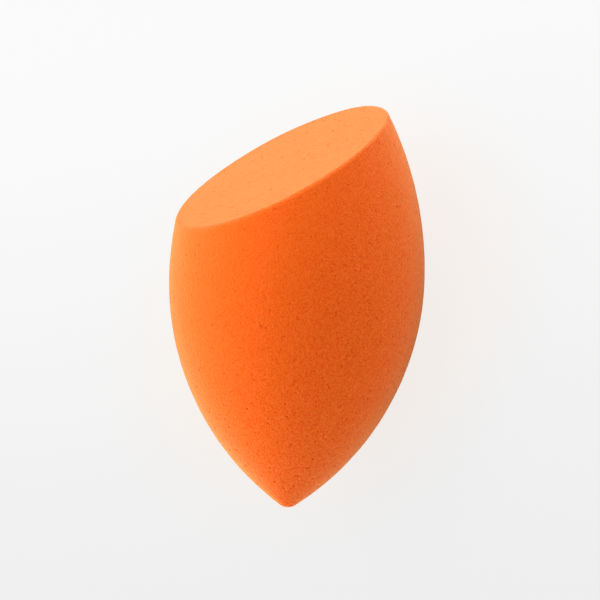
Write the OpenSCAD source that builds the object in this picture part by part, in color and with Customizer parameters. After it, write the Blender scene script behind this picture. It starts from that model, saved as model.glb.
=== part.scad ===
// Makeup sponge: one soft foam drop with its wide end cut off flat at a slant.
// It lies at rest on its long side, with the tip towards -X, the cut end towards +X
// and the short side up. XZ is its mirror plane, and Z is 0 where it touches the table.

/* [Drop] */
// Greatest diameter of the drop
girth_d = 40; // [30:0.5:60]
// Height of the greatest diameter above the tip, along the axis
girth_h = 36.3; // [28:0.1:50]
// Radius of the rounded tip
tip_r = 2.1; // [1:0.1:6]
// Radius of the arc that closes in above the greatest diameter
shoulder_r = 55.4; // [35:0.1:120]

/* [Cut face] */
// Height above the tip where the cut face crosses the axis
cut_h = 56.3; // [50:0.1:70]
// Slant of the cut face, from square to the axis
cut_slant = 37; // [0:1:45]

/* [At rest] */
// Dip of the axis towards the tip when the sponge lies on its long side
rest_dip = 6.2; // [0:0.1:12]
// Depth of the small flat that the soft foam settles into where it touches the table
rest_flat_depth = 0.4; // [0.1:0.05:1]

/* [Hidden] */
$fn = 360;
foam_orange = "#E9622A";
girth_r = girth_d / 2;

// The flank is one arc from the tip to the girth. It leaves the tip's arc smoothly
// and stands upright at the girth, which sets its radius.
flank_r = (pow(girth_r, 2) + pow(girth_h - tip_r, 2) - pow(tip_r, 2)) / (2 * (girth_r - tip_r));
flank_start_h = tip_r - tip_r * (girth_h - tip_r) / (flank_r - tip_r);

// Above the girth the uncut drop would close to a point at this height.
drop_h = girth_h + sqrt(pow(shoulder_r, 2) - pow(shoulder_r - girth_r, 2));

// The corner of the cut face on the long side, from the shoulder arc's centre:
// how far the face lies from that centre, and half the chord that it cuts from the arc.
shoulder_centre_x = girth_r - shoulder_r;
face_offset = shoulder_centre_x * sin(cut_slant) + (cut_h - girth_h) * cos(cut_slant);
face_half_chord = sqrt(pow(shoulder_r, 2) - pow(face_offset, 2));
long_corner_x = shoulder_centre_x - face_offset * sin(cut_slant) + face_half_chord * cos(cut_slant);
long_corner_h = girth_h + face_offset * cos(cut_slant) + face_half_chord * sin(cut_slant);

// Reach of the sponge along X once it lies down, and how far its tip is raised
// for the flank to reach below the table by the depth of the rest flat.
rest_x_max = long_corner_x * sin(rest_dip) + long_corner_h * cos(rest_dip);
rest_x_min = tip_r * cos(rest_dip) - tip_r;
round_lift = flank_r + (girth_r - flank_r) * cos(rest_dip) - girth_h * sin(rest_dip);
rest_lift = round_lift - rest_flat_depth;

// Rounded tip of the half outline
module tip_outline() {
    intersection() {
        translate([0, tip_r]) circle(r = tip_r);
        square([tip_r, girth_h]);
    }
}

// Stretch of the half outline between two heights, bounded by an arc that is upright at the girth
module arc_outline(arc_r, from_h, to_h) {
    intersection() {
        translate([girth_r - arc_r, girth_h]) circle(r = arc_r);
        translate([0, from_h]) square([girth_r, to_h - from_h]);
    }
}

// The whole drop before it is cut, standing on its tip
module drop() {
    rotate_extrude() {
        tip_outline();
        arc_outline(flank_r, flank_start_h, girth_h);
        arc_outline(shoulder_r, girth_h, drop_h);
    }
}

// Everything above the slanting cut face, which is highest on the +X side
module above_cut() {
    translate([0, 0, cut_h])
        rotate([0, -cut_slant, 0])
            translate([-drop_h, -girth_d, 0])
                cube([2 * drop_h, 2 * girth_d, drop_h]);
}

// The drop with its flat face, still standing on its tip
module cut_drop() {
    difference() {
        drop();
        above_cut();
    }
}

// Everything below the table
module below_table() {
    translate([-drop_h, -girth_d, -girth_d])
        cube([2 * drop_h, 2 * girth_d, girth_d]);
}

// Lays a standing drop down on its +X side, tip towards -X and centred along X
module laid_down() {
    translate([-(rest_x_min + rest_x_max) / 2, 0, rest_lift])
        rotate([0, 90 - rest_dip, 0])
            children();
}

module foam_body() {
    color(foam_orange)
        difference() {
            laid_down() cut_drop();
            below_table();
        }
}

foam_body();
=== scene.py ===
"""Makeup sponge on a pale table: the foam with its pores and finish, the table, the lamps and the camera.

Lengths are in metres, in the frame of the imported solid: X runs from the tip to the cut end, Z is up,
and XZ is the sponge's mirror plane. Angles are in radians.
"""

import logging
import math
from dataclasses import dataclass, field
from enum import Enum
from typing import NamedTuple

import bpy
import numpy as np
from mathutils import Matrix, Vector


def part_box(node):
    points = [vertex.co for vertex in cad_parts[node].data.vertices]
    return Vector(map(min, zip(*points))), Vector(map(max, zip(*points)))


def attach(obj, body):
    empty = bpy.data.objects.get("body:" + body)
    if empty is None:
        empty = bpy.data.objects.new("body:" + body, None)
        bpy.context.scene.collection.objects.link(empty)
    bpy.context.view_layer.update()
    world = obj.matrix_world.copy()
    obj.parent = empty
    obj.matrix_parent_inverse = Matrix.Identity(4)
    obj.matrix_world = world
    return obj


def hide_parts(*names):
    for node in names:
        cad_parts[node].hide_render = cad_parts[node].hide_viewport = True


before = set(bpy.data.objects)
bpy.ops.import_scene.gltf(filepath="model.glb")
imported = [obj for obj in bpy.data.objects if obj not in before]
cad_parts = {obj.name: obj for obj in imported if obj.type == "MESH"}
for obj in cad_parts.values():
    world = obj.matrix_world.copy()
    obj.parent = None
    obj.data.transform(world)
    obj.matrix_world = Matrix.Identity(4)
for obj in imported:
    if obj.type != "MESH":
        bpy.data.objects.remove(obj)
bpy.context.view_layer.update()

LOG = logging.getLogger("makeup_sponge")
NODE = "foam_body"
PIECE = "sponge_foam"
PORE_ATTRIBUTE = "pore_depth"
GRAIN_AND_SHADE_ATTRIBUTE = "grain_and_shade_strength"
UP = np.array([0.0, 0.0, 1.0])
# Least divisors, for points on the drop's axis or deep inside it
LEAST_LENGTH = 1e-12
LEAST_RADIUS = 1e-9

Triple = tuple[float, float, float]
Colour = Triple
Direction = Triple
Socket = bpy.types.NodeSocket
Source = Socket | float | tuple[float, ...]


class Patch(Enum):
    """The three patches of the body's grid, which meet without a gap."""

    FACE = "cut face"
    SIDE = "side"
    TIP = "tip"


class Outline(Enum):
    """The three arcs of the drop's outline, from the tip up."""

    TIP = "tip"
    FLANK = "flank"
    SHOULDER = "shoulder"


class Passage(Enum):
    """How values go from one end of a range to the other. The straight one goes on past both ends."""

    SMOOTH = "SMOOTHSTEP"
    STRAIGHT = "LINEAR"


class Arc(NamedTuple):
    """An arc of the outline: how far its centre is from the axis and above the tip, and its radius."""

    centre_r: float
    centre_h: float
    radius: float


class Edge(NamedTuple):
    """A distance field at some points: how far outside each one is, and the way out from it."""

    distance: np.ndarray
    outward: np.ndarray


@dataclass(frozen=True)
class DropSizes:
    """Driving sizes of the drop, its cut and how it lies, the same as the solid's."""

    girth_d: float = 0.040
    girth_h: float = 0.0363
    tip_r: float = 0.0021
    shoulder_r: float = 0.0554
    cut_h: float = 0.0563
    cut_slant: float = math.radians(37.0)
    rest_dip: float = math.radians(6.2)
    rest_flat_depth: float = 0.0004
    rim_r: float = 0.00050
    rest_edge_r: float = 0.0002

    @property
    def girth_r(self) -> float:
        """Radius at the widest place."""
        return self.girth_d / 2

    @property
    def flank_r(self) -> float:
        """Radius of the arc that leaves the tip smoothly and stands upright at the girth."""
        rise = self.girth_h - self.tip_r
        return (self.girth_r**2 + rise**2 - self.tip_r**2) / (2 * (self.girth_r - self.tip_r))

    @property
    def tip_turn(self) -> float:
        """Angle below level of the line from the flank's centre through the tip's centre."""
        return math.atan2(self.girth_h - self.tip_r, self.flank_r - self.girth_r)

    @property
    def tip_length(self) -> float:
        """Length of the tip's arc, from the very tip to the flank."""
        return self.tip_r * (math.pi / 2 - self.tip_turn)

    @property
    def girth_length(self) -> float:
        """Length along the outline from the very tip to the girth."""
        return self.tip_length + self.flank_r * self.tip_turn

    def arc(self, part: Outline) -> Arc:
        """Gives an arc of the outline.

        Args:
            part: Which arc.

        Returns:
            Its centre and radius.
        """
        if part is Outline.TIP:
            return Arc(0.0, self.tip_r, self.tip_r)
        if part is Outline.FLANK:
            return Arc(self.girth_r - self.flank_r, self.girth_h, self.flank_r)
        return Arc(self.girth_r - self.shoulder_r, self.girth_h, self.shoulder_r)

    def chosen(self, where: list[np.ndarray], parts: tuple[Outline, ...]) -> list[np.ndarray]:
        """Picks one of three arcs for each point.

        Args:
            where: At which points the first arc counts, and at which of the others the second does.
            parts: The three arcs. The third counts at all points that are left.

        Returns:
            The centres' distances from the axis, their heights above the tip, and the radii.
        """
        arcs = [self.arc(part) for part in parts]
        return [np.select(where, [first, second], third) for first, second, third in zip(*arcs)]


class DropForm:
    """The cut drop, lying at rest, as a distance field and as points along its outline."""

    def __init__(self, sizes: DropSizes, low: Vector, high: Vector) -> None:
        """Places the drop in the solid's box.

        The axis dips by the rest angle towards the tip, the drop is centred along X, and it is raised so
        that its flank would reach below the table by the depth of the rest flat.

        Args:
            sizes: The driving sizes.
            low: Lowest corner of the solid's box.
            high: Highest corner of the solid's box.
        """
        self.sizes = sizes
        dip, slant = sizes.rest_dip, sizes.cut_slant
        self.axis = np.array([math.cos(dip), 0.0, math.sin(dip)])
        self.long_side = np.array([math.sin(dip), 0.0, -math.cos(dip)])
        self.across = np.array([0.0, 1.0, 0.0])
        self.cut_normal = math.cos(slant) * self.axis - math.sin(slant) * self.long_side
        corner_r, corner_h = self.outline(self.rim_length(np.zeros(1)))
        reach_max = corner_r[0] * math.sin(dip) + corner_h[0] * math.cos(dip)
        reach_min = sizes.tip_r * math.cos(dip) - sizes.tip_r
        flank_r, flank_h, radius = sizes.arc(Outline.FLANK)
        lift = radius + flank_r * math.cos(dip) - flank_h * math.sin(dip)
        self.table_z = low.z
        self.tip = np.array(
            [
                (low.x + high.x) / 2 - (reach_min + reach_max) / 2,
                (low.y + high.y) / 2,
                low.z + lift - sizes.rest_flat_depth,
            ]
        )

    def outline(self, length: np.ndarray) -> tuple[np.ndarray, np.ndarray]:
        """Follows the outline upwards from the very tip: tip arc, then flank arc, then shoulder arc.

        Each arc's angle is the length along it over its radius, and a point is the arc's centre plus its
        radius times the cosine and sine of that angle.

        Args:
            length: Lengths along the outline.

        Returns:
            Distances from the axis and heights above the tip.
        """
        s = self.sizes
        tip_angle = length / s.tip_r - math.pi / 2
        flank_angle = (length - s.girth_length) / s.flank_r
        shoulder_angle = (length - s.girth_length) / s.shoulder_r
        on_tip = length < s.tip_length
        on_flank = ~on_tip & (length < s.girth_length)
        angle = np.select([on_tip, on_flank], [tip_angle, flank_angle], shoulder_angle)
        centre_r, centre_h, radius = s.chosen([on_tip, on_flank], tuple(Outline))
        return centre_r + radius * np.cos(angle), centre_h + radius * np.sin(angle)

    def rim_length(self, turn: np.ndarray) -> np.ndarray:
        """Finds where the cut face meets the outline.

        On the shoulder arc the plane asks for p sin t + q cos t = c, which gives
        t = arcsin(c / hypot(p, q)) - arctan2(q, p).

        Args:
            turn: Angles round the axis, from the long side.

        Returns:
            Lengths along the outline from the very tip to the rim.
        """
        s = self.sizes
        centre_r, centre_h, radius = s.arc(Outline.SHOULDER)
        tilt = np.cos(turn) * math.sin(s.cut_slant)
        p = radius * math.cos(s.cut_slant)
        q = -radius * tilt
        c = (s.cut_h - centre_h) * math.cos(s.cut_slant) + centre_r * tilt
        return s.girth_length + radius * (np.arcsin(c / np.hypot(p, q)) - np.arctan2(q, p))

    def point(self, turn: np.ndarray, length: np.ndarray) -> np.ndarray:
        """Gives points on the uncut drop: the tip, plus the height up the axis, plus the radius outwards.

        Args:
            turn: Angles round the axis, from the long side.
            length: Lengths along the outline.

        Returns:
            Points, one row each.
        """
        r, h = self.outline(length)
        out = np.cos(turn)[..., None] * self.long_side + np.sin(turn)[..., None] * self.across
        return self.tip + h[..., None] * self.axis + r[..., None] * out

    def side(self, r: np.ndarray, h: np.ndarray) -> tuple[np.ndarray, np.ndarray, np.ndarray]:
        """Measures how far points are from the uncut drop's outline.

        The nearest arc is the shoulder above the girth, the tip past the line through the two lower
        centres, and else the flank. The distance is that to the arc's centre, less its radius.

        Args:
            r: Distances from the axis.
            h: Heights above the tip.

        Returns:
            Distances outside, and the outward direction's parts away from the axis and along it.
        """
        s = self.sizes
        flank_r, flank_h, _ = s.arc(Outline.FLANK)
        past_line = -flank_r * (h - flank_h) < (s.tip_r - flank_h) * (r - flank_r)
        parts = (Outline.SHOULDER, Outline.TIP, Outline.FLANK)
        centre_r, centre_h, radius = s.chosen([h > s.girth_h, past_line], parts)
        length = np.hypot(r - centre_r, h - centre_h)
        return length - radius, (r - centre_r) / length, (h - centre_h) / length

    @staticmethod
    def rounded(one: Edge, other: Edge, radius: float) -> Edge:
        """Joins two fields where both have to hold, and rounds the edge between them.

        Each distance plus the radius, where that is above zero, is one leg of a right triangle. The
        joined distance is the triangle's long side less the radius.

        Args:
            one: The first field.
            other: The second field.
            radius: Radius of the rounded edge.

        Returns:
            The joined field.
        """
        a = np.maximum(one.distance + radius, 0)
        b = np.maximum(other.distance + radius, 0)
        long_side = np.hypot(a, b)
        way = a[:, None] * one.outward + b[:, None] * other.outward
        way /= np.maximum(np.linalg.norm(way, axis=1), LEAST_LENGTH)[:, None]
        deep = np.maximum(one.distance, other.distance)
        return Edge(np.where(long_side > 0, long_side - radius, deep), way)

    def field(self, points: np.ndarray) -> Edge:
        """Measures points against the whole sponge: the drop, the cut face and the table.

        Args:
            points: Points, one row each.

        Returns:
            How far outside each one is, and which way is out.
        """
        from_tip = points - self.tip
        h = from_tip @ self.axis
        a, b = from_tip @ self.long_side, from_tip @ self.across
        r = np.maximum(np.hypot(a, b), LEAST_RADIUS)
        out = (a / r)[:, None] * self.long_side + (b / r)[:, None] * self.across
        distance, part_r, part_h = self.side(r, h)
        drop = Edge(distance, part_r[:, None] * out + part_h[:, None] * self.axis)
        cut = Edge(
            from_tip @ self.cut_normal - self.sizes.cut_h * math.cos(self.sizes.cut_slant),
            np.broadcast_to(self.cut_normal, points.shape),
        )
        table = Edge(self.table_z - points[:, 2], np.broadcast_to(-UP, points.shape))
        cut_drop = self.rounded(drop, cut, self.sizes.rim_r)
        return self.rounded(cut_drop, table, self.sizes.rest_edge_r)

    def settle(self, points: np.ndarray, steps: int = 8) -> Edge:
        """Moves points onto the rounded surface: each step takes off the distance along the way out.

        Args:
            points: Points near the surface. They are changed in place.
            steps: How many steps to take.

        Returns:
            The field at the points where they end.
        """
        for _ in range(steps):
            found = self.field(points)
            points -= found.distance[:, None] * found.outward
        return self.field(points)


@dataclass(frozen=True)
class MapPlace:
    """A patch's place in the body's texture map: its lower left corner and its width and height."""

    u: float
    v: float
    width: float
    height: float


@dataclass(frozen=True)
class GridSizes:
    """How finely the body's grid is laid, where it is drawn together, and how its map is shared out."""

    # Faces from a round patch's middle to its border, and from the rim down to the tip's patch
    half: int = 90
    rows: int = 256
    # Length along the outline that the tip's patch covers
    tip_reach: float = 0.0150
    # How strong the crowding beside the rim is, and how far it reaches as a share of all rows
    rim_crowding: float = 1.3
    rim_crowded: float = 0.022
    crowding_samples: int = 4000
    # Margin round a patch, and width of a round patch, as shares of the map's side
    map_name: str = "OFBake"
    map_margin: float = 0.002
    disc_map: float = 0.396

    @property
    def turns(self) -> int:
        """Number of columns round the side, which is the number of points on a square patch's border."""
        return 8 * self.half

    def place(self, patch: Patch) -> MapPlace:
        """Gives a patch's place in the map: two round patches side by side, and the side above them.

        Args:
            patch: Which patch.

        Returns:
            Its place.
        """
        margin, disc = self.map_margin, self.disc_map
        past_disc = disc + 4 * margin
        if patch is Patch.SIDE:
            return MapPlace(margin, past_disc, 1 - 2 * margin, 1 - margin - past_disc)
        if patch is Patch.FACE:
            return MapPlace(margin, margin, disc, disc)
        return MapPlace(past_disc, margin, disc, disc)


class DropGrid:
    """The body's quads: a square grid pressed round on the cut face, one on the tip, the side between."""

    def __init__(self, form: DropForm, sizes: GridSizes) -> None:
        """Lays the grid on the sharp form.

        Args:
            form: The drop to lay it on.
            sizes: How finely.
        """
        self.form = form
        self.sizes = sizes
        self.turn = 2 * math.pi * np.arange(sizes.turns) / sizes.turns
        self.rim = form.rim_length(self.turn)
        corner_turns = np.array([0.0, math.pi])
        corners = form.point(corner_turns, form.rim_length(corner_turns))
        self.face_centre = corners.mean(0)

    def crowded(self, count: int) -> np.ndarray:
        """Spaces rows from the rim, closer beside it.

        The number of rows within a distance d grows as d + k w (1 - exp(-d / w)), where w is how far the
        crowding reaches and k how strong it is. That is turned round by interpolation.

        Args:
            count: Number of steps.

        Returns:
            count + 1 distances from the rim, as shares from 0 to 1.
        """
        reach, strength = self.sizes.rim_crowded, self.sizes.rim_crowding
        distance = np.linspace(0, 1, self.sizes.crowding_samples)
        passed = distance + strength * reach * (1 - np.exp(-distance / reach))
        return np.interp(np.linspace(0, passed[-1], count + 1), passed, distance)

    def disc(self) -> tuple[np.ndarray, np.ndarray]:
        """Presses a square grid into a disc: each square ring of 8 k points becomes a round ring.

        A point's ring is the larger of its two counts from the middle. Its turn is a quarter of a half
        turn times the smaller count over the larger one, from the side of the square that it is on.

        Returns:
            Each grid point's ring number and its turn, as square arrays.
        """
        count = np.arange(-self.sizes.half, self.sizes.half + 1)
        i, j = np.meshgrid(count, count, indexing="ij")
        ring = np.maximum(abs(i), abs(j))
        nonzero_i = np.where(i == 0, 1, i)
        nonzero_j = np.where(j == 0, 1, j)
        quarter = math.pi / 4
        turn = np.where(
            abs(i) >= abs(j),
            quarter * j / nonzero_i + np.where(i < 0, math.pi, 0.0),
            math.pi / 2 - quarter * i / nonzero_j + np.where(j < 0, math.pi, 0.0),
        )
        return ring, turn

    def border(self, square: np.ndarray) -> np.ndarray:
        """Reads a square array along its border, in the order of the side's columns.

        Args:
            square: A square array over the grid.

        Returns:
            Its values on the border, one for each column.
        """
        k = self.sizes.half
        a = np.arange(self.sizes.turns)
        sector = ((a + k) // (2 * k)) % 4
        sectors = [sector == 0, sector == 1, sector == 2]
        i = np.select(sectors, [k, 2 * k - a, -k], a - 6 * k)
        back = np.where(a >= 7 * k, a - 8 * k, a)
        j = np.select(sectors, [back, k, 4 * k - a], -k)
        return square[i + k, j + k]

    def points(self) -> np.ndarray:
        """Places every grid point on the sharp form.

        On the cut face a point is the middle of the face plus a share of the way to the rim. On the tip
        and the side it is a length along the outline, at its turn.

        Returns:
            Points: the cut face's, then the tip's, then the side's rows between them.
        """
        ring, turn = self.disc()
        rim_points = self.form.point(turn, self.form.rim_length(turn))
        half = self.sizes.half
        share = 1 - self.crowded(half)[::-1]
        to_rim = share[ring][..., None]
        face = self.face_centre + to_rim * (rim_points - self.face_centre)
        tip = self.form.point(turn, self.sizes.tip_reach * ring / half)
        down = self.crowded(self.sizes.rows)[1:-1, None]
        length = self.rim - down * (self.rim - self.sizes.tip_reach)
        side = self.form.point(np.broadcast_to(self.turn, length.shape), length)
        return np.concatenate([face.reshape(-1, 3), tip.reshape(-1, 3), side.reshape(-1, 3)])

    def quads(self) -> tuple[np.ndarray, np.ndarray]:
        """Lists the faces and where their corners lie in the texture map.

        Returns:
            Point numbers, four to a face, and map places, two numbers for each of the four corners.
        """
        wide = 2 * self.sizes.half + 1
        face = np.arange(wide * wide).reshape(wide, wide)
        tip = face + wide * wide
        rows, turns = self.sizes.rows, self.sizes.turns
        side = np.empty((rows + 1, turns), int)
        side[0] = self.border(face)
        side[-1] = self.border(tip)
        side[1:-1] = 2 * wide * wide + np.arange((rows - 1) * turns).reshape(rows - 1, turns)
        closed = np.concatenate([side, side[:, :1]], axis=1)
        all_quads, all_maps = [], []
        for patch, grid in ((Patch.FACE, face), (Patch.TIP, tip), (Patch.SIDE, closed)):
            place = self.sizes.place(patch)
            u = place.u + place.width * np.linspace(0, 1, grid.shape[1])
            v = place.v + place.height * np.linspace(0, 1, grid.shape[0])
            at = np.stack(np.meshgrid(u, v), -1)
            all_quads.append(self.corners(grid).reshape(-1, 4))
            all_maps.append(self.corners(at).reshape(-1, 4, 2))
        return np.concatenate(all_quads), np.concatenate(all_maps)

    @staticmethod
    def corners(grid: np.ndarray) -> np.ndarray:
        """Stacks the values at each cell's four corners, in order round the cell, on the third axis."""
        return np.stack([grid[:-1, :-1], grid[1:, :-1], grid[1:, 1:], grid[:-1, 1:]], 2)


class Dice:
    """Repeatable random numbers for whole arrays of lattice cells."""

    COUNT_PRIMES: tuple[int, int, int] = (73856093, 19349663, 83492791)
    SEED_PRIME: int = 2654435761
    WHICH_STEP: int = 40503
    WHICH_START: int = 977
    STIRS: tuple[tuple[int, int], ...] = ((16, 2246822507), (13, 3266489909), (16, 1))

    def __init__(self, seed: int) -> None:
        """Keeps the seed.

        Args:
            seed: A whole number. Each seed gives its own numbers.
        """
        self.seed = np.uint32(seed)

    def roll(self, cells: np.ndarray, which: int) -> np.ndarray:
        """Gives each cell a number from 0 to 1.

        The cell's three counts, times a large prime each, are joined bit by bit with a start from the
        seed. Each stir joins that to itself shifted, and multiplies it.

        Args:
            cells: Whole cell counts, three to a row.
            which: Which of the cell's numbers to give.

        Returns:
            One number for each cell.
        """
        counts = cells.astype(np.int64).astype(np.uint32)
        with np.errstate(over="ignore"):
            start = self.seed * np.uint32(self.SEED_PRIME)
            start += np.uint32(which * self.WHICH_STEP + self.WHICH_START)
            mixed = np.bitwise_xor.reduce(counts * np.array(self.COUNT_PRIMES, np.uint32), axis=-1) ^ start
            for shift, factor in self.STIRS:
                mixed = (mixed ^ (mixed >> np.uint32(shift))) * np.uint32(factor)
        return mixed.astype(np.float64) / 2**32


@dataclass(frozen=True)
class PoreField:
    """Round pores of one kind, scattered through the foam and opened where the surface passes them."""

    # Width of a lattice cell, the pores' least and greatest radius, and their depth as a share of it
    cell: float
    small_r: float
    large_r: float
    depth: float
    rarity: float
    seed: int
    bowl: float = 1.5

    def depth_at(self, points: np.ndarray) -> np.ndarray:
        """Works out how deep the pores reach at each point.

        Each cell of a lattice holds one pore at a random place. Its radius lies between the two bounds,
        small ones being the more common by the power named rarity. At a share x of the radius from its
        middle, a pore is as deep as its radius times depth times (1 - x squared) to the power named bowl.

        Args:
            points: Points, one row each.

        Returns:
            Depths, of which the deepest pore at each point counts.
        """
        dice = Dice(self.seed)
        home = np.floor(points / self.cell)
        deepest = np.zeros(len(points))
        for near in np.ndindex(3, 3, 3):
            cells = home + np.array(near) - 1
            jitter = np.stack([dice.roll(cells, axis) for axis in range(3)], -1)
            size = dice.roll(cells, 3) ** self.rarity
            radius = self.small_r + (self.large_r - self.small_r) * size
            away = np.sum((points - (cells + jitter) * self.cell) ** 2, axis=1) / radius**2
            deepest = np.maximum(deepest, self.depth * radius * np.maximum(1 - away, 0) ** self.bowl)
        return deepest


@dataclass(frozen=True)
class Unevenness:
    """A slow rise and fall of the surface."""

    pitch: float
    height: float
    seed: int

    def height_at(self, points: np.ndarray) -> np.ndarray:
        """Works out the rise at each point: random heights on a lattice, blended smoothly between.

        The blend in each direction is 3 t squared minus 2 t cubed.

        Args:
            points: Points, one row each.

        Returns:
            Rises, from minus to plus the height.
        """
        dice = Dice(self.seed)
        home = np.floor(points / self.pitch)
        t = points / self.pitch - home
        t = t * t * (3 - 2 * t)
        total = np.zeros(len(points))
        for near in np.ndindex(2, 2, 2):
            weight = np.prod(np.where(np.array(near) == 1, t, 1 - t), axis=1)
            total += weight * dice.roll(home + np.array(near), 0)
        return self.height * (2 * total - 1)


@dataclass(frozen=True)
class GrainAndShadeSpread:
    """How strongly the foam's fine grain and its painted shade show from place to place."""

    middle: float = 2.50
    # The rise is painted shade: the grain's dark marks grow stronger towards the lower, shaded side
    rise: Triple = (-12.0, -14.0, -84.0)
    least: float = 1.0
    most: float = 3.6
    on_cut: float = 2.8
    cut_from: float = 0.85
    cut_width: float = 0.13

    def grain_and_shade_strength_at(self, points: np.ndarray, facing_cut: np.ndarray) -> np.ndarray:
        """Works out the strength of the grain and its painted shade: rising to the lower side, more on the
        cut.

        Off the cut face it is middle plus rise times place, kept between least and most. It turns into
        on_cut as the cosine of the angle to the cut face goes on by cut_width from cut_from.

        Args:
            points: Points, from the middle of the sponge.
            facing_cut: For each point, the cosine between the surface's way out and the cut face's.

        Returns:
            One strength for each point.
        """
        side = np.clip(self.middle + points @ np.array(self.rise), self.least, self.most)
        share = np.clip((facing_cut - self.cut_from) / self.cut_width, 0.0, 1.0)
        return side + share * (self.on_cut - side)


def linked(name: str, data: bpy.types.ID) -> bpy.types.Object:
    """Makes an object and links it to the scene.

    Args:
        name: The object's name.
        data: Its mesh, or its lamp's or camera's data.

    Returns:
        The object, at the origin.
    """
    thing = bpy.data.objects.new(name, data)
    bpy.context.scene.collection.objects.link(thing)
    return thing


class NodeBoard:
    """A node tree, with short ways to add its nodes and to join them."""

    def __init__(self, tree: bpy.types.NodeTree) -> None:
        """Keeps the tree.

        Args:
            tree: The node tree to add to.
        """
        self.tree = tree

    @classmethod
    def cleared(cls, owner: bpy.types.Material | bpy.types.World) -> "NodeBoard":
        """Empties the node tree of a material or a world.

        Args:
            owner: The material or the world.

        Returns:
            The board for that tree.
        """
        owner.use_nodes = True
        owner.node_tree.nodes.clear()
        return cls(owner.node_tree)

    def feed(self, node: bpy.types.Node, inputs: dict[str | int, Source]) -> None:
        """Links outputs to a node's inputs, and writes plain values on them.

        Args:
            node: The node.
            inputs: For each input, by its name or number, an output or a plain value.
        """
        for name, source in inputs.items():
            if isinstance(source, bpy.types.NodeSocket):
                self.tree.links.new(source, node.inputs[name])
            else:
                node.inputs[name].default_value = source

    def add(self, kind: str, inputs: dict[str | int, Source] | None = None) -> bpy.types.Node:
        """Adds a node.

        Args:
            kind: The node's type.
            inputs: What feeds its inputs.

        Returns:
            The node.
        """
        node = self.tree.nodes.new(kind)
        self.feed(node, inputs or {})
        return node

    def maths(self, operation: str, one: Source, other: Source) -> Socket:
        """Adds a calculation with two numbers.

        Args:
            operation: The node's own name for what it does.
            one: The first number.
            other: The second number.

        Returns:
            The result's output.
        """
        node = self.add("ShaderNodeMath")
        node.operation = operation
        self.feed(node, {0: one, 1: other})
        return node.outputs["Value"]

    def vectors(self, operation: str, inputs: dict[str | int, Source]) -> bpy.types.NodeOutputs:
        """Adds a calculation with vectors.

        Args:
            operation: The node's own name for what it does.
            inputs: What feeds its inputs.

        Returns:
            Its outputs, of which Vector or Value holds the result.
        """
        node = self.add("ShaderNodeVectorMath")
        node.operation = operation
        self.feed(node, inputs)
        return node.outputs

    def ranged(
        self,
        value: Socket,
        given: tuple[float, float] = (0.0, 1.0),
        wanted: tuple[float, float] = (0.0, 1.0),
        way: Passage = Passage.SMOOTH,
    ) -> Socket:
        """Adds a change from one range of values to another.

        Args:
            value: Output that gives the value.
            given: The two ends of the value's own range.
            wanted: What these two ends become.
            way: How the values between them go.

        Returns:
            The changed value's output.
        """
        node = self.add("ShaderNodeMapRange")
        node.interpolation_type = way.value
        node.clamp = way is Passage.SMOOTH
        ends = {"From Min": given[0], "From Max": given[1], "To Min": wanted[0], "To Max": wanted[1]}
        self.feed(node, {"Value": value, **ends})
        return node.outputs["Result"]

    def mixed(self, share: Socket, one: Colour, other: Colour) -> Socket:
        """Adds a mix of two colours.

        Args:
            share: Output that gives the second colour's share.
            one: The first colour.
            other: The second colour.

        Returns:
            The mixed colour's output.
        """
        node = self.add("ShaderNodeMix")
        node.data_type = "RGBA"
        self.feed(node, {"Factor": share, "A": (*one, 1.0), "B": (*other, 1.0)})
        return node.outputs["Result"]

    def mixed_shader(self, share: Socket, one: Socket, other: Socket) -> Socket:
        """Adds a mix of two shaders, by the second one's share."""
        return self.add("ShaderNodeMixShader", {"Fac": share, 1: one, 2: other}).outputs["Shader"]

    def attribute(self, name: str) -> Socket:
        """Adds a node that reads a value kept at the mesh's points.

        Args:
            name: The name that the values are kept under.

        Returns:
            The value's output.
        """
        node = self.add("ShaderNodeAttribute")
        node.attribute_name = name
        return node.outputs["Fac"]

    def shows_backdrop(self) -> Socket:
        """Tells whether a ray is one that shows the backdrop: from the camera, mirrored or let through.

        Returns:
            An output that is 1 for such rays.
        """
        ray = self.add("ShaderNodeLightPath").outputs
        seen = self.maths("MAXIMUM", ray["Is Camera Ray"], ray["Is Glossy Ray"])
        return self.maths("MAXIMUM", seen, ray["Is Transmission Ray"])


@dataclass(frozen=True)
class PitKind:
    """One kind of the grain's pits: its share of the count, and how far in a cell it is full and ends."""

    count: float
    full: float
    reach: float


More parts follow.
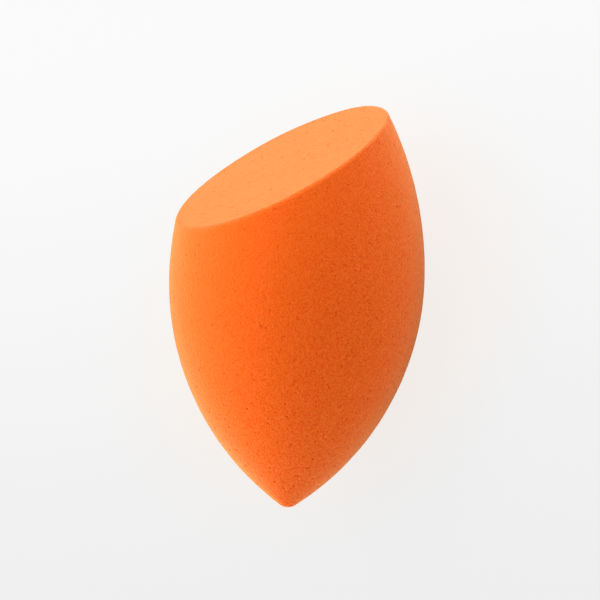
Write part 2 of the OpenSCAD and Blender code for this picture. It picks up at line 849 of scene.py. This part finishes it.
@dataclass(frozen=True)
class FoamFinish:
    """Dyed open-cell foam: matt, with a pale bloom where it is seen edge-on, and painted shade in its
    pores.
    """

    colour: Colour = (0.813, 0.1095, 0.0076)
    # Painted shade in the pores and pits: a darker, deeper orange than the foam
    pore_shade_colour: Colour = (0.70, 0.056, 0.0)
    # How much of each part of the colour the grain's noise adds and takes away, as tone and painted shade
    mottle_and_shade: Colour = (0.020, 0.150, 0.620)
    grain_pitch: float = 0.00028
    grain_height: float = 0.000025
    noise_detail: float = 2.0
    noise_roughness: float = 0.6
    # Noise values that count as the bottom and the top of a wave
    noise_range: tuple[float, float] = (0.3, 0.7)
    pit_pitch: float = 0.00030
    small_pits: PitKind = PitKind(count=1.0, full=0.12, reach=0.46)
    large_pits: PitKind = PitKind(count=0.4, full=0.08, reach=0.28)
    # Depth at which a modelled pore has its full painted shade, and how much of that painted shade it
    # shows
    depth_scale: float = 0.00016
    pore_shade_share: float = 0.42
    roughness: float = 0.92
    specular: float = 0.02
    bloom: float = 0.57
    bloom_roughness: float = 0.45
    bloom_tint: Colour = (1.0, 0.88, 0.39)

    @staticmethod
    def pits(board: NodeBoard, place: Socket, count: Socket, kind: PitKind) -> Socket:
        """Adds round pits to a node group: a cell of a scattered pattern is dented near its point.

        Each pit's depth is its cell's own random number, times a smooth fall from 1 to 0 with distance.

        Args:
            board: The node group's board.
            place: Output that gives the place.
            count: Output that gives the number of cells in a metre.
            kind: Which pits.

        Returns:
            An output with the pits' depth, from 0 to 1.
        """
        scale = board.maths("MULTIPLY", count, kind.count)
        cells = board.add("ShaderNodeTexVoronoi", {"Vector": place, "Scale": scale}).outputs
        fall = board.ranged(cells["Distance"], (kind.full, kind.reach), (1.0, 0.0))
        own = board.add("ShaderNodeSeparateColor", {"Color": cells["Color"]}).outputs
        return board.maths("MULTIPLY", fall, own["Red"])

    def grain_group(self) -> bpy.types.ShaderNodeTree:
        """Builds the node group for the foam's fine grain.

        It holds fine noise, many small pits and some larger ones. Inputs are the place, how many waves
        and how many small pits there are in a metre, and the grain's strength. The outputs are Pit, the
        painted shade in the pits, from 0 up, Shade, the noise's tone and painted shade, about 0, and
        Height, which is the noise less the pits.

        Returns:
            The group.
        """
        group = bpy.data.node_groups.new("foam_grain", "ShaderNodeTree")
        face = group.interface
        face.new_socket("Place", in_out="INPUT", socket_type="NodeSocketVector")
        for name in ("Grain Count", "Pit Count", "Strength"):
            socket = face.new_socket(name, in_out="INPUT", socket_type="NodeSocketFloat")
            socket.default_value = 1.0
        for name in ("Pit", "Shade", "Height"):
            face.new_socket(name, in_out="OUTPUT", socket_type="NodeSocketFloat")
        board = NodeBoard(group)
        given = board.add("NodeGroupInput").outputs
        place, count, strength = given["Place"], given["Pit Count"], given["Strength"]
        noise = board.add("ShaderNodeTexNoise", {"Vector": place, "Scale": given["Grain Count"]})
        board.feed(noise, {"Detail": self.noise_detail, "Roughness": self.noise_roughness})
        wave = board.ranged(noise.outputs["Fac"], self.noise_range, (-1.0, 1.0), Passage.STRAIGHT)
        small = self.pits(board, place, count, self.small_pits)
        large = self.pits(board, place, count, self.large_pits)
        pit = board.maths("ADD", small, large)
        results = {
            "Pit": board.maths("MULTIPLY", pit, strength),
            "Shade": board.maths("MULTIPLY", wave, strength),
            "Height": board.maths("SUBTRACT", wave, pit),
        }
        board.add("NodeGroupOutput", results)
        return group

    def material(self) -> bpy.types.Material:
        """Builds the foam's material.

        The colour is the foam's, turned towards the painted pore shade by the pore shade share times the
        sum of the modelled pores' depth and the grain's pits, both in the grain's strength: painted shade
        in the hollows. The grain adds its shade times the mottle and shade times the colour, random tone
        and painted shade of its bumps, so that dark specks are a deeper orange, and it gives the bump.

        Returns:
            The material.
        """
        mat = bpy.data.materials.new("orange_foam")
        board = NodeBoard.cleared(mat)
        place = board.add("ShaderNodeTexCoord").outputs["Object"]
        strength = board.attribute(GRAIN_AND_SHADE_ATTRIBUTE)
        counts = {"Grain Count": 1 / self.grain_pitch, "Pit Count": 1 / self.pit_pitch}
        grain_node = board.add("ShaderNodeGroup")
        grain_node.node_tree = self.grain_group()
        board.feed(grain_node, {"Place": place, "Strength": strength, **counts})
        grain = grain_node.outputs
        pore = board.ranged(board.attribute(PORE_ATTRIBUTE), (0.0, self.depth_scale))
        # Painted shade: the modelled pores and the grain's pits turn the colour darker
        both = board.maths("ADD", board.maths("MULTIPLY", pore, strength), grain["Pit"])
        pore_shade = board.maths("MULTIPLY", both, self.pore_shade_share)
        coloured = board.mixed(pore_shade, self.colour, self.pore_shade_colour)
        # Random tone, and painted shade that is lighter where the bump rises and darker where it falls
        swing = tuple(share * part for share, part in zip(self.mottle_and_shade, self.colour))
        shaded = board.vectors("MULTIPLY_ADD", {0: grain["Shade"], 1: swing, 2: coloured})["Vector"]
        kept = board.vectors("MAXIMUM", {0: shaded, 1: (0.0, 0.0, 0.0)})["Vector"]
        rough = board.ranged(pore, wanted=(self.roughness, 1.0), way=Passage.STRAIGHT)
        bump = board.add("ShaderNodeBump", {"Height": grain["Height"], "Distance": self.grain_height})
        look = {
            "Base Color": kept,
            "Roughness": rough,
            "Normal": bump.outputs["Normal"],
            "Specular IOR Level": self.specular,
            "Sheen Weight": self.bloom,
            "Sheen Roughness": self.bloom_roughness,
            "Sheen Tint": (*self.bloom_tint, 1.0),
        }
        foam = board.add("ShaderNodeBsdfPrincipled", look)
        board.add("ShaderNodeOutputMaterial", {"Surface": foam.outputs["BSDF"]})
        return mat


@dataclass(frozen=True)
class FoamBody:
    """The sponge itself: one block of foam that stands for the plain solid, with its pores opened."""

    drop: DropSizes = DropSizes()
    grid: GridSizes = GridSizes()
    finish: FoamFinish = FoamFinish()
    # How strongly the grain and its painted shade show from place to place
    grain: GrainAndShadeSpread = GrainAndShadeSpread()
    pores: tuple[PoreField, ...] = (
        PoreField(cell=0.00095, small_r=0.00012, large_r=0.00029, depth=0.60, rarity=1.8, seed=11),
        PoreField(cell=0.00050, small_r=0.00009, large_r=0.00018, depth=0.55, rarity=1.0, seed=23),
    )
    waves: tuple[Unevenness, ...] = (
        Unevenness(pitch=0.0070, height=0.000035, seed=5),
        Unevenness(pitch=0.0016, height=0.000012, seed=7),
    )

    def form(self) -> DropForm:
        """Gives the drop in its place in the solid's box."""
        return DropForm(self.drop, *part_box(NODE))

    def build(self) -> bpy.types.Object:
        """Makes the body's mesh, opens its pores and puts it in the solid's place.

        A point on the rounded form moves outwards by the unevenness and inwards by the pores' depth, and
        none goes below the table.

        Returns:
            The finished piece.
        """
        low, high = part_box(NODE)
        form = self.form()
        grid = DropGrid(form, self.grid)
        points = grid.points()
        surface = form.settle(points)
        depth = np.max([pores.depth_at(points) for pores in self.pores], axis=0)
        rise = np.sum([wave.height_at(points) for wave in self.waves], axis=0)
        shaped = points + (rise - depth)[:, None] * surface.outward
        shaped[:, 2] = np.maximum(shaped[:, 2], low.z)
        quads, places = self.outward(points, surface.outward, *grid.quads())
        from_middle = points - np.array((low + high) / 2)
        # Strength of the grain and of its painted shade, which rises towards the lower side
        grain = self.grain.grain_and_shade_strength_at(from_middle, surface.outward @ form.cut_normal)
        body = self.mesh(shaped, quads, places, {PORE_ATTRIBUTE: depth, GRAIN_AND_SHADE_ATTRIBUTE: grain})
        body.data.materials.append(self.finish.material())
        LOG.info("%s: %d points, %d faces", body.name, len(points), len(quads))
        return body

    @staticmethod
    def outward(
        points: np.ndarray, way_out: np.ndarray, quads: np.ndarray, places: np.ndarray
    ) -> tuple[np.ndarray, np.ndarray]:
        """Turns every face so that it points out of the foam: the cross product of its diagonals tells.

        Args:
            points: The grid's points.
            way_out: The outward direction at each point.
            quads: Point numbers, four to a face.
            places: Map places of the corners.

        Returns:
            The faces and map places, with the order of corners turned round where that was needed.
        """
        corner = points[quads]
        normal = np.cross(corner[:, 2] - corner[:, 0], corner[:, 3] - corner[:, 1])
        wrong = np.sum(normal * way_out[quads].mean(1), axis=1) < 0
        turned = np.where(wrong[:, None], quads[:, ::-1], quads)
        return turned, np.where(wrong[:, None, None], places[:, ::-1], places)

    def mesh(
        self, points: np.ndarray, quads: np.ndarray, places: np.ndarray, values: dict[str, np.ndarray]
    ) -> bpy.types.Object:
        """Puts the arrays into a mesh object at the origin, with its texture map and its values at points.

        Args:
            points: Points, one row each.
            quads: Point numbers, four to a face.
            places: Map places of the corners.
            values: Numbers for each point, by the name that the finish reads them by.

        Returns:
            The object, linked to the scene.
        """
        mesh = bpy.data.meshes.new(PIECE)
        mesh.vertices.add(len(points))
        mesh.loops.add(quads.size)
        mesh.polygons.add(len(quads))
        mesh.vertices.foreach_set("co", points.astype(np.float32).ravel())
        mesh.loops.foreach_set("vertex_index", quads.astype(np.int32).ravel())
        mesh.polygons.foreach_set("loop_start", np.arange(0, quads.size, 4, dtype=np.int32))
        mesh.polygons.foreach_set("use_smooth", np.ones(len(quads), bool))
        layer = mesh.uv_layers.new(name=self.grid.map_name)
        layer.uv.foreach_set("vector", places.astype(np.float32).ravel())
        for name, numbers in values.items():
            attribute = mesh.attributes.new(name, "FLOAT", "POINT")
            attribute.data.foreach_set("value", numbers.astype(np.float32))
        mesh.update(calc_edges=True)
        mesh.validate()
        return linked(PIECE, mesh)

    def place(self, body: bpy.types.Object) -> None:
        """Hangs the piece on the root body and hides the plain solid that it stands for.

        Args:
            body: The finished piece.
        """
        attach(body, "root")
        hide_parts(NODE)


@dataclass(frozen=True)
class TableFinish:
    """A matt white that shows mostly its own plain tone and keeps a faint shadow."""

    # What it throws back and the tone that it shows, at the near and the far end of its fade along X
    near_matt: float = 0.70
    far_matt: float = 0.97
    near_tone: float = 0.843
    far_tone: float = 0.928
    fade_from: float = -0.06
    fade_to: float = 0.06
    # Share of its own tone in what it shows; the rest is lit, and carries the shadow
    plainness: float = 0.965
    # Painted glow of orange bounce light round the sponge: tint, middle, reach, share of the reach at full
    painted_glow_tint: Colour = (1.035, 0.985, 0.945)
    glow_middle: tuple[float, float] = (0.004, 0.017)
    glow_reach: tuple[float, float] = (0.042, 0.056)
    glow_core: float = 0.5

    def material(self) -> bpy.types.Material:
        """Builds the table's material.

        The light that it throws back and the tone that it shows both rise with X, each between its own
        two ends. Round the sponge the tone carries a painted warm glow that stands for the sponge's orange
        bounce light. With x and y the distances from the middle of that patch as shares of its reach, the
        painted glow fades as hypot(x, y) goes from glow_core to 1.

        Returns:
            The material.
        """
        mat = bpy.data.materials.new("pale_table")
        board = NodeBoard.cleared(mat)
        place = board.add("ShaderNodeTexCoord").outputs["Object"]
        along = board.add("ShaderNodeSeparateXYZ", {"Vector": place}).outputs["X"]
        fade = (self.fade_from, self.fade_to)
        lit = board.ranged(along, fade, (self.near_matt, self.far_matt))
        tone = board.ranged(along, fade, (self.near_tone, self.far_tone))
        spot = board.add("ShaderNodeMapping")
        spot.vector_type = "TEXTURE"
        patch = {"Location": (*self.glow_middle, 0.0), "Scale": (*self.glow_reach, 1.0)}
        board.feed(spot, {"Vector": place, **patch})
        away = board.vectors("LENGTH", {0: spot.outputs["Vector"]})["Value"]
        near = board.ranged(away, (1.0, self.glow_core))
        # Painted glow: the tone turns warmer round the sponge, standing for its orange bounce light
        painted_glow = board.mixed(near, (1.0, 1.0, 1.0), self.painted_glow_tint)
        toned = board.vectors("SCALE", {0: painted_glow, "Scale": tone})["Vector"]
        matt = board.add("ShaderNodeBsdfDiffuse", {"Color": lit}).outputs["BSDF"]
        plain = board.add("ShaderNodeEmission", {"Color": toned}).outputs["Emission"]
        share = board.maths("MULTIPLY", board.shows_backdrop(), self.plainness)
        shader = board.mixed_shader(share, matt, plain)
        board.add("ShaderNodeOutputMaterial", {"Surface": shader})
        return mat


@dataclass(frozen=True)
class Table:
    """The plain table that the sponge lies on."""

    width: float = 3.0
    finish: TableFinish = TableFinish()

    def build(self) -> bpy.types.Object:
        """Makes the table top under the sponge.

        Returns:
            The table.
        """
        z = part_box(NODE)[0].z
        half = self.width / 2
        corners = [(-half, -half, z), (half, -half, z), (half, half, z), (-half, half, z)]
        mesh = bpy.data.meshes.new("table_top")
        mesh.from_pydata(corners, [], [(0, 1, 2, 3)])
        mesh.materials.append(self.finish.material())
        table = linked("table_top", mesh)
        LOG.info("%s: %.1f m wide", table.name, self.width)
        return table


@dataclass(frozen=True)
class Softbox:
    """One large soft lamp that faces the sponge."""

    name: str
    direction: Direction
    level: float
    distance: float = 0.9
    size: float = 0.7

    def build(self, aim: Vector) -> None:
        """Hangs the lamp and aims it.

        Its power is its level times pi squared times its distance squared: at level 1 a white matt
        surface that faces it renders as white.

        Args:
            aim: The point that it faces.
        """
        light = bpy.data.lights.new(self.name, "AREA")
        light.shape = "SQUARE"
        light.size = self.size
        light.energy = self.level * math.pi**2 * self.distance**2
        way = Vector(self.direction).normalized()
        lamp = linked(self.name, light)
        lamp.location = aim + way * self.distance
        lamp.rotation_mode = "QUATERNION"
        lamp.rotation_quaternion = way.to_track_quat("Z", "Y")
        LOG.info("%s: level %.2f", self.name, self.level)


@dataclass(frozen=True)
class Studio:
    """The light: soft lamps above and behind, and an even pale room that fills in."""

    lamps: tuple[Softbox, ...] = (
        Softbox("back_softbox", (0.25, 0.60, 0.75), level=1.00),
        Softbox("tip_softbox", (-0.77, 0.52, 0.36), level=0.55),
        Softbox("top_softbox", (0.0, 0.0, 1.0), level=0.49),
        Softbox("end_softbox", (0.88, -0.02, 0.47), level=0.33),
    )
    fill: float = 0.478
    room_tone: float = 0.93

    def build(self) -> None:
        """Hangs the lamps and sets the room's light."""
        low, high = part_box(NODE)
        for lamp in self.lamps:
            lamp.build((low + high) / 2)
        world = bpy.data.worlds.new("pale_room")
        board = NodeBoard.cleared(world)
        pale = (self.room_tone,) * 3 + (1.0,)
        light = board.add("ShaderNodeBackground", {"Color": (1.0,) * 4, "Strength": self.fill}).outputs
        shown = board.add("ShaderNodeBackground", {"Color": pale}).outputs
        seen = board.shows_backdrop()
        room = board.mixed_shader(seen, light["Background"], shown["Background"])
        board.add("ShaderNodeOutputWorld", {"Surface": room})
        bpy.context.scene.world = world
        LOG.info("room: fill %.2f", self.fill)


@dataclass(frozen=True)
class PhotoCamera:
    """The camera at the photograph's viewing angle, from above, with the sponge's tip at the bottom."""

    turn: float = math.radians(41.40)
    lean: float = math.radians(-8.0)
    roll: float = math.radians(2.35)
    # Height above the tip, along the axis, of the point that it aims at, and that point's place in view
    aim_height: float = 0.0320
    aim_left: float = 0.000673
    aim_down: float = 0.000595
    distance: float = 0.900
    lens_mm: float = 345.0
    sensor_mm: float = 36.0
    clip: tuple[float, float] = (0.05, 20.0)

    def axes(self, form: DropForm) -> tuple[Vector, Vector, Vector]:
        """Works out the camera's own directions, with the drop's axis upright in its frame at first.

        It stands in front and turns round the axis towards the short side, then it leans towards the cut
        end, and last it rolls. Each step mixes two directions by its angle's cosine and sine.

        Args:
            form: The drop, for its directions.

        Returns:
            Its right, up and back.
        """
        facing = -math.sin(self.turn) * form.long_side - math.cos(self.turn) * form.across
        level = math.cos(self.turn) * form.long_side - math.sin(self.turn) * form.across
        back = math.cos(self.lean) * facing + math.sin(self.lean) * form.axis
        rise = math.cos(self.lean) * form.axis - math.sin(self.lean) * facing
        right = math.cos(self.roll) * level + math.sin(self.roll) * rise
        up = math.cos(self.roll) * rise - math.sin(self.roll) * level
        return Vector(right), Vector(up), Vector(back)

    def build(self, form: DropForm) -> bpy.types.Object:
        """Makes the camera and gives it to the scene.

        It stands back from a point on the drop's axis, and a little aside, so that this point shows to
        the left of and below the middle of the frame.

        Args:
            form: The drop, for its axis.

        Returns:
            The camera.
        """
        right, up, back = self.axes(form)
        aim = Vector(form.tip + self.aim_height * form.axis)
        data = bpy.data.cameras.new("photo_camera")
        data.lens = self.lens_mm
        data.sensor_width = self.sensor_mm
        data.clip_start, data.clip_end = self.clip
        camera = linked("photo_camera", data)
        camera.rotation_mode = "QUATERNION"
        camera.rotation_quaternion = Matrix((right, up, back)).transposed().to_quaternion()
        camera.location = aim + back * self.distance + right * self.aim_left + up * self.aim_down
        bpy.context.scene.camera = camera
        LOG.info("%s: %.0f mm lens at %.2f m", camera.name, self.lens_mm, self.distance)
        return camera


@dataclass
class Sponge:
    """The whole scene, built in order."""

    body: FoamBody = field(default_factory=FoamBody)
    table: Table = field(default_factory=Table)
    studio: Studio = field(default_factory=Studio)
    camera: PhotoCamera = field(default_factory=PhotoCamera)

    def build(self) -> None:
        """Makes the camera, the body, the table and the light."""
        self.camera.build(self.body.form())
        self.body.place(self.body.build())
        self.table.build()
        self.studio.build()


def main() -> None:
    """Builds the scene and reports each piece."""
    logging.basicConfig(level=logging.INFO, format="%(name)s: %(message)s")
    bpy.context.scene.view_settings.view_transform = "Standard"
    Sponge().build()


if __name__ == "__main__":
    main()
